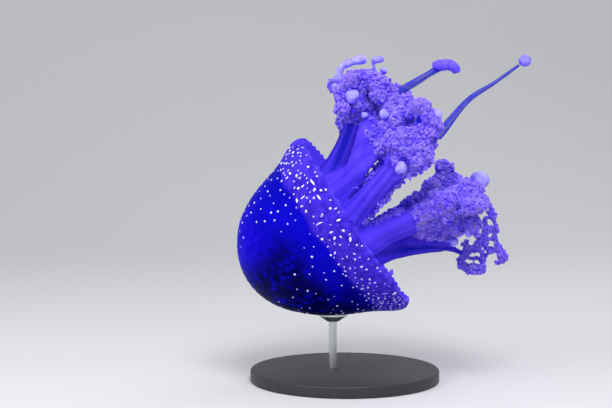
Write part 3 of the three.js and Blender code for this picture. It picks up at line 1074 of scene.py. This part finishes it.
florets = [
    floret(lobes=5, depth=0.16, dimple=0.16, stand=0.50),
    floret(lobes=3, depth=0.22, dimple=0.08, stand=0.58),
    floret(lobes=4, depth=0.12, dimple=0.0, stand=0.60, long=1.9, bend=0.22),
    floret(lobes=3, depth=0.14, dimple=0.0, stand=0.52, long=1.6, bend=-0.30),
    floret(lobes=3, depth=0.16, dimple=0.0, stand=1.20),
]
floret_odds = [0.20, 0.20, 0.27, 0.25, 0.08]


def gather(name, kinds, roots, ups, sizes, spins, tones, crests, middles):
    """Joins one floret at every root, and lays each one's patch on the bake map at its middle."""
    helper = np.where(np.abs(ups[:, :1]) < 0.9, np.array([[1.0, 0, 0]]), np.array([[0, 1.0, 0]]))
    side = unit(np.cross(ups, helper))
    front = np.cross(ups, side)
    first = side * np.cos(spins)[:, None] + front * np.sin(spins)[:, None]
    second = np.cross(ups, first)
    axes = np.stack([first, second, ups], 1)
    parts = {"place": [], "face": [], "tip": [], "tone": [], "crest": [], "patch": []}
    start = 0
    for kind, (shape, faces) in enumerate(florets):
        chosen = np.flatnonzero(kinds == kind)
        local = shape[None] * sizes[chosen][:, None, None]
        placed = roots[chosen][:, None] + np.einsum("nvk,nkc->nvc", local, axes[chosen])
        count = len(shape)
        starts = start + count * np.arange(len(chosen))
        tip = smooth(shape[:, 2] / shape[:, 2].max(), 0.1, 0.95)
        parts["place"].append(placed.reshape(-1, 3))
        parts["face"].append((faces[None] + starts[:, None, None]).reshape(-1, 3))
        parts["tip"].append(np.tile(tip, len(chosen)))
        parts["tone"].append(np.repeat(tones[chosen], count))
        parts["crest"].append(np.repeat(crests[chosen], count))
        parts["patch"].append((middles[chosen][:, None] + 0.0011 * shape[None, :, :2]).reshape(-1, 2))
        start += count * len(chosen)
    parts = {key: np.concatenate(value) for key, value in parts.items()}
    piece = mesh_piece(name, parts["place"], parts["face"], parts["patch"])
    for key in ("tip", "tone", "crest"):
        store(piece, key, parts[key])
    return piece


ruffle = Finish(
    "ruffled_frill", Roughness=0.65, IOR=1.36, Specular_IOR_Level=0.08,
    Subsurface_Weight=0.6, Subsurface_Radius=(0.7, 0.6, 1.0), Subsurface_Scale=0.006,
)
tip_share = ruffle.attribute("tip")
crest_share = ruffle.attribute("crest")
# Painted shade: each curd is darker at its base than at its tip, and darker still in the furrows between
# lumps.
curd_base_shade = ruffle.mix(crest_share, (0.080, 0.038, 0.86), (0.150, 0.080, 1.0))
pale = ruffle.mix(crest_share, (0.135, 0.072, 1.0), (0.235, 0.150, 1.0))
curd_color = ruffle.mix(tip_share, curd_base_shade, pale)
bright = ruffle.span(ruffle.attribute("tone"), 0.78, 1.0, 0.0, 0.25)
bright = bright + ruffle.span(ruffle.noise(60, 2), 0.50, 0.66, 0.0, 0.30)
ruffle.give("Base Color", ruffle.mix(bright, curd_color, (0.36, 0.29, 1.0)))

# Roots are thrown over the frilled faces of the skin, clear of the clubs and fingers, and thinned
# out until the curds stand side by side. Those on the lace and the small lumps are finer.
curd_spacing = 0.0022
fine_spacing = 0.0015
sunk = 0.0007
chance = np.random.default_rng(8)
roots, ups = throw_over(skin, 190000, frilled)
local_roots = upright(roots)
off_clubs = np.ones(len(roots), dtype=bool)
for *club_place, club_size in bare:
    off_clubs &= apart(local_roots, club_place) > club_size + 0.6
roots, ups, local_roots = roots[off_clubs], ups[off_clubs], local_roots[off_clubs]
_, root_furrow = lumps_at(local_roots)
nearest_lump = [lump_tree.find(place)[1] for place in local_roots]
fine = (distance_to(lace_tree, local_roots) < 0.0032) | (lump_sizes[nearest_lump] < 0.003)
coarse_kept = thin_out(roots[~fine], curd_spacing)
fine_kept = thin_out(roots[fine], fine_spacing)
kept = np.concatenate([np.flatnonzero(~fine)[coarse_kept], np.flatnonzero(fine)[fine_kept]])
fine = fine[kept]
roots, local_roots = roots[kept], local_roots[kept]
ups = unit(ups[kept] + chance.normal(0, 0.3, (len(kept), 3)))
root_arm, root_share, root_angle = arm_places(local_roots)
# Painted shade: curds in the furrows between lumps get a low crest value, and with it darker colours.
crests = np.where(fine, 0.45, 1 - root_furrow[kept])
# Painted light: the far arm's frills, which lie in the shadow of the nearer masses, are lifted towards the
# paler crest colours.
crests = np.clip(crests + 0.4 * (root_arm == far_arm), 0, 1)
sizes = np.where(fine, chance.uniform(0.0009, 0.0015, len(kept)), chance.uniform(0.0016, 0.0026, len(kept)))
kinds = chance.choice(len(florets), len(kept), p=floret_odds)
spins = chance.uniform(0, 2 * math.pi, len(kept))
tones = chance.random(len(kept))
across_map = 0.05 + 0.9 * (root_angle / (2 * math.pi) + 0.5)
down_map = 0.05 + 0.9 * np.clip(root_share, 0, 1.2) / 1.2
middles = np.stack([across_map, down_map], 1)
columns = (kinds, roots - ups * sunk, ups, sizes, spins, tones, crests, middles)
for number in range(8):
    frills = gather(f"frills_{number + 1}", *(column[root_arm == number] for column in columns))
    ruffle.cover(frills)
    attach(frills, "root")

# ---- Clubs and fingers ---------------------------------------------------------------------------
# Pale stinging clubs, fingers and a bladder stand out of the frills. Each is drawn out from a ball
# into its own rounded, slightly knobbly shape, in place of a solid of the frame.

club_finish = Finish(
    "pale_club", Roughness=0.4, IOR=1.36, Specular_IOR_Level=0.2,
    Subsurface_Weight=0.3, Subsurface_Radius=(0.6, 0.5, 1.0), Subsurface_Scale=0.0025,
)
mottle = club_finish.noise(210, 2)
fine_grain = club_finish.noise(700, 2)
club_color = club_finish.mix(club_finish.span(mottle, 0.3, 0.7), (0.26, 0.20, 0.97), (0.44, 0.40, 1.0))
# The dusk mark is the fingers' and bladder's own dusky tone. On the clubs it is painted shade towards the
# base.
club_color = club_finish.mix(club_finish.attribute("tone_and_painted_shade"), club_color, (0.13, 0.075, 0.86))
club_finish.give("Base Color", club_color)
club_relief = club_finish.node("ShaderNodeBump", {}, Height=fine_grain, Strength=0.2, Distance=0.0003)
club_finish.give("Normal", club_relief)


def through(points, samples):
    """Even samples of a smooth line through points."""
    points = np.array(points, dtype=float)
    padded = np.concatenate([[2 * points[0] - points[1]], points, [2 * points[-1] - points[-2]]])
    at = np.linspace(0, len(points) - 1, samples)
    index = np.minimum(at.astype(int), len(points) - 2)
    t = (at - index)[:, None]
    a, b, c, d = (padded[index + k] for k in range(4))
    bends = (2 * a - 5 * b + 4 * c - d) * t**2 + (3 * b - a - 3 * c + d) * t**3
    return 0.5 * (2 * b + (c - a) * t + bends)


def drawn_out(name, points, radius_at, around=24, rings=40):
    """A ball drawn out along points in millimetres, with a radius for each share of its length."""
    deselect_all()
    bpy.ops.mesh.primitive_uv_sphere_add(segments=around, ring_count=rings, radius=1)
    piece = bpy.context.object
    piece.name = name
    ball = places_of(piece)
    order = np.round(np.arccos(np.clip(ball[:, 2], -1, 1)) / math.pi * rings).astype(int)
    turns = np.arctan2(ball[:, 1], ball[:, 0])
    share = 0.5 - 0.5 * np.cos(math.pi * order / rings)
    fine = through(points, 400)
    lengths = lengths_along(fine)
    lengths /= lengths[-1]
    line = sampled(share, lengths, fine)
    along = unit(sampled(share, lengths, np.gradient(fine, axis=0)))
    helper = np.array([0.0, 1.0, 0.0]) if abs(along[:, 1]).max() < 0.9 else np.array([1.0, 0.0, 0.0])
    side = unit(np.cross(along, helper))
    front = np.cross(along, side)
    radius = np.where((order == 0) | (order == rings), 0, radius_at(share, turns))
    shape = line + side * (radius * np.cos(turns))[:, None] + front * (radius * np.sin(turns))[:, None]
    move_to(piece, posed(shape / 1000))
    store(piece, "around", 0.5 + 0.5 * np.cos(5 * turns + 4 * share))
    edit_whole(piece, bpy.ops.mesh.normals_make_consistent, inside=False)
    bpy.ops.object.shade_smooth()
    return piece, share


def rounded(share, power=2.0):
    return np.maximum(0, 1 - np.abs(2 * share - 1) ** power) ** (1 / power)


def club_radius(size, number):
    def radius(share, turns):
        pear = 1 + 0.16 * np.sin(math.pi * share) * (2 * share - 1)
        knobbly = 1 + 0.09 * np.cos(3 * turns + 4 * share + number)
        knobbly = knobbly + 0.08 * np.cos(2 * turns + 6 * share + 2 * number)
        ring_mark = 1 - 0.06 * swell(share, 0.76, 0.05)
        return size * rounded(share) * pear * ring_mark * knobbly

    return radius


def bean_radius(share, turns):
    pinched = 1 + 0.03 * np.cos(9 * math.pi * share)
    return 5.9 * rounded(share, 4) * (1.05 - 0.22 * share) * pinched * (1 + 0.02 * np.cos(4 * turns))


def capsule_radius(share, turns):
    return 3.5 * rounded(share, 4) * (0.42 + 0.58 * smooth(share, 0.40, 0.62))


def chain_radius(share, turns):
    knobs = 0.62 + 0.48 * swell(share, 0.07, 0.10) + 0.12 * swell(share, 0.55, 0.07)
    knobs = knobs + 0.30 * swell(share, 0.90, 0.16)
    return 5.4 * rounded(share, 5) * knobs * (1 + 0.03 * np.cos(3 * turns + 9 * share))


def finish_club(club, node, tone_and_painted_shade):
    store(club, "tone_and_painted_shade", tone_and_painted_shade)
    club_finish.cover(club)
    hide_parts(node)
    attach(club, "root")


for number, (middle, size, pointing) in enumerate(club_rows, 1):
    middle = np.array(middle, dtype=float)
    reach = 1.06 * size * unit(np.array([pointing], dtype=float))[0]
    line = [middle - reach, middle, middle + reach]
    club, share = drawn_out(f"stinging_club_{number}", line, club_radius(size, number), rings=24)
    # Painted highlight and shade: each club is pale at its tip, which points forward out of the frills, and
    # darkened towards its base.
    tone_and_painted_shade = 0.75 * (1 - smooth(share, 0.30, 0.80))
    finish_club(club, f"club_{number}", tone_and_painted_shade)

chain_line = [(122, -9, -63), (129, -9, -68), (134, -9, -75), (133, -9, -83), (131, -9, -90), (127, -9, -99)]
capsule_line = [(109, 1, -100), (116, 1, -101), (121, 1, -105), (118, 1, -114)]
bean_line = [(84, 12, -150), (81, 12, -158), (77, 13, -165), (71, 12, -168), (66, 12, -166)]
finger_rows = [
    # line, radius along it, and how dusky its flesh is
    (chain_line, chain_radius, 0.1),
    (capsule_line, capsule_radius, 0.3),
    (bean_line, bean_radius, 0.95),
]
for number, (points, radius_at, ground) in enumerate(finger_rows, 1):
    finger, share = drawn_out(f"finger_{number}_flesh", points, radius_at, rings=60)
    tone_and_painted_shade = ground + 0.08 * np.cos(22 * share) + 0.5 * swell(share, 0.0, 0.12)
    finish_club(finger, f"finger_{number}", tone_and_painted_shade)


def tip_radius(share, turns):
    return 5.9 * rounded(share) * (1 + 0.12 * (share - 0.5)) * (1 + 0.03 * np.cos(2 * turns))


tip_line = [(40.2, -5, -222), (39.5, -5, -228), (38.6, -5, -234.4)]
tip_club, share = drawn_out("trailing_club", tip_line, tip_radius, rings=24)
finish_club(tip_club, "trailer_2_club", 0.45 + 0.4 * (1 - smooth(share, 0.05, 0.3)))

# ---- Trailing filaments --------------------------------------------------------------------------
# Two long clear filaments trail from the arms' ends and carry the farthest clubs. They are soft
# flattened ribbons of blue jelly, so thin that they can be seen through.

filament = Finish("clear_filament", Roughness=0.3, IOR=1.34, Specular_IOR_Level=0.2)
threads = filament.noise(160, 3) * 0.6 + filament.attribute("around") * 0.4
blue_range = (0.003, 0.006, 0.36), (0.014, 0.020, 0.66)
filament.give("Base Color", filament.mix(filament.span(threads, 0.35, 0.65), *blue_range))
filament.give("Alpha", filament.span(threads, 0.3, 0.7, 0.45, 0.85))


def filament_radius(root, end):
    def radius(share, turns):
        flat = 1 + 0.10 * np.cos(2 * turns + 5 * share) + 0.05 * np.sin(14 * share)
        return rounded(share, 12) * (root + (end - root) * share) * flat

    return radius


filament_rows = [
    # points, radius at the root and radius at the end
    ([(80, 0, -98), (82, 2, -110), (81, 6, -130), (80, 11, -155)], 4.6, 3.4),
    ([(25, -30, -114), (38, -20, -158), (38, -12, -190), (39, -6, -221)], 4.2, 1.4),
]
for number, (points, root, end) in enumerate(filament_rows, 1):
    ribbon, share = drawn_out(f"filament_{number}", points, filament_radius(root, end), rings=90)
    filament.cover(ribbon)
    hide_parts(f"trailer_{number}")
    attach(ribbon, "root")

# ---- Display stand -------------------------------------------------------------------------------
# A round weighted base in satin black carries a short steel rod, which ends in a shallow cup that is
# glued under the bell. It stands in for the water that the animal swims in.

base_low, base_high = (Vector(corner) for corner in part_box("stand_base"))
deselect_all()
bpy.ops.mesh.primitive_cylinder_add(
    vertices=160,
    radius=(base_high.x - base_low.x) / 2,
    depth=base_high.z - base_low.z,
    location=(base_low + base_high) / 2,
)
base = bpy.context.object
base.name = "stand_base_disc"
bpy.ops.object.transform_apply(location=True, rotation=True, scale=True)
apply_modifier(base, "BEVEL", width=0.002, segments=4, limit_method="ANGLE")
bpy.ops.object.shade_smooth_by_angle(angle=math.radians(30))
satin = Finish("satin_black", Specular_IOR_Level=0.4)
dust = satin.noise(240, 4)
satin.give("Base Color", satin.mix(dust, (0.018, 0.019, 0.023), (0.034, 0.036, 0.042)))
satin.give("Roughness", satin.span(dust, 0.3, 0.7, 0.42, 0.56))
satin.cover(base)
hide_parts("stand_base")
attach(base, "root")

steel = Finish("satin_steel", Metallic=1.0)
brushed = steel.noise(600, 2)
steel.give("Base Color", steel.mix(brushed, (0.50, 0.51, 0.53), (0.62, 0.63, 0.65)))
steel.give("Roughness", steel.span(brushed, 0.3, 0.7, 0.28, 0.4))
steel.cover(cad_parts["stand_rod"])
steel.cover(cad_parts["stand_cradle"])

# ---- Floor and light -----------------------------------------------------------------------------
# A pale sweep of paper rises behind the stand without an edge. A large soft key lamp, a fill, a weak
# lamp from behind and a plain bright room light it, so that colours come out as they are written.

sweep_width = 8
sweep_length = 9
sweep_before = 3
flat_run = 4.2
bend_radius = 1.5

deselect_all()
bpy.ops.mesh.primitive_grid_add(x_subdivisions=1, y_subdivisions=64, size=1)
sweep = bpy.context.object
sweep.name = "sweep"
sheet = places_of(sweep)
run = (sheet[:, 1] + 0.5) * sweep_length
swing = np.clip((run - flat_run) / bend_radius, 0, math.pi / 2)
climb = np.maximum(0, run - flat_run - bend_radius * math.pi / 2)
back = np.minimum(run, flat_run) - sweep_before + bend_radius * np.sin(swing)
move_to(sweep, np.stack([sweep_width * sheet[:, 0], back, bend_radius * (1 - np.cos(swing)) + climb], 1))
bpy.ops.object.shade_smooth()
sweep_finish = Finish("pale_sweep", Roughness=0.9, Specular_IOR_Level=0.1)
sweep_finish.give("Base Color", (0.66, 0.66, 0.67))
sweep_finish.cover(sweep)

world = bpy.data.worlds.new("studio")
bpy.context.scene.world = world
world.use_nodes = True
room = world.node_tree.nodes["Background"]
room.inputs["Color"].default_value = (0.92, 0.94, 0.97, 1)
room.inputs["Strength"].default_value = 0.66


def softbox(name, place, width, power):
    bpy.ops.object.light_add(type="AREA", location=place)
    lamp = bpy.context.object
    lamp.name = name
    lamp.data.size = width
    lamp.data.energy = power
    lamp.rotation_euler = (look_at - Vector(place)).to_track_quat("-Z", "Y").to_euler()


softbox("key", (0.15, -1.0, 1.4), 0.7, 19)
softbox("fill", (-1.1, -0.8, 0.8), 0.9, 7)
softbox("back", (0.8, 1.0, 1.3), 0.9, 4.5)
bpy.context.scene.view_settings.view_transform = "Standard"
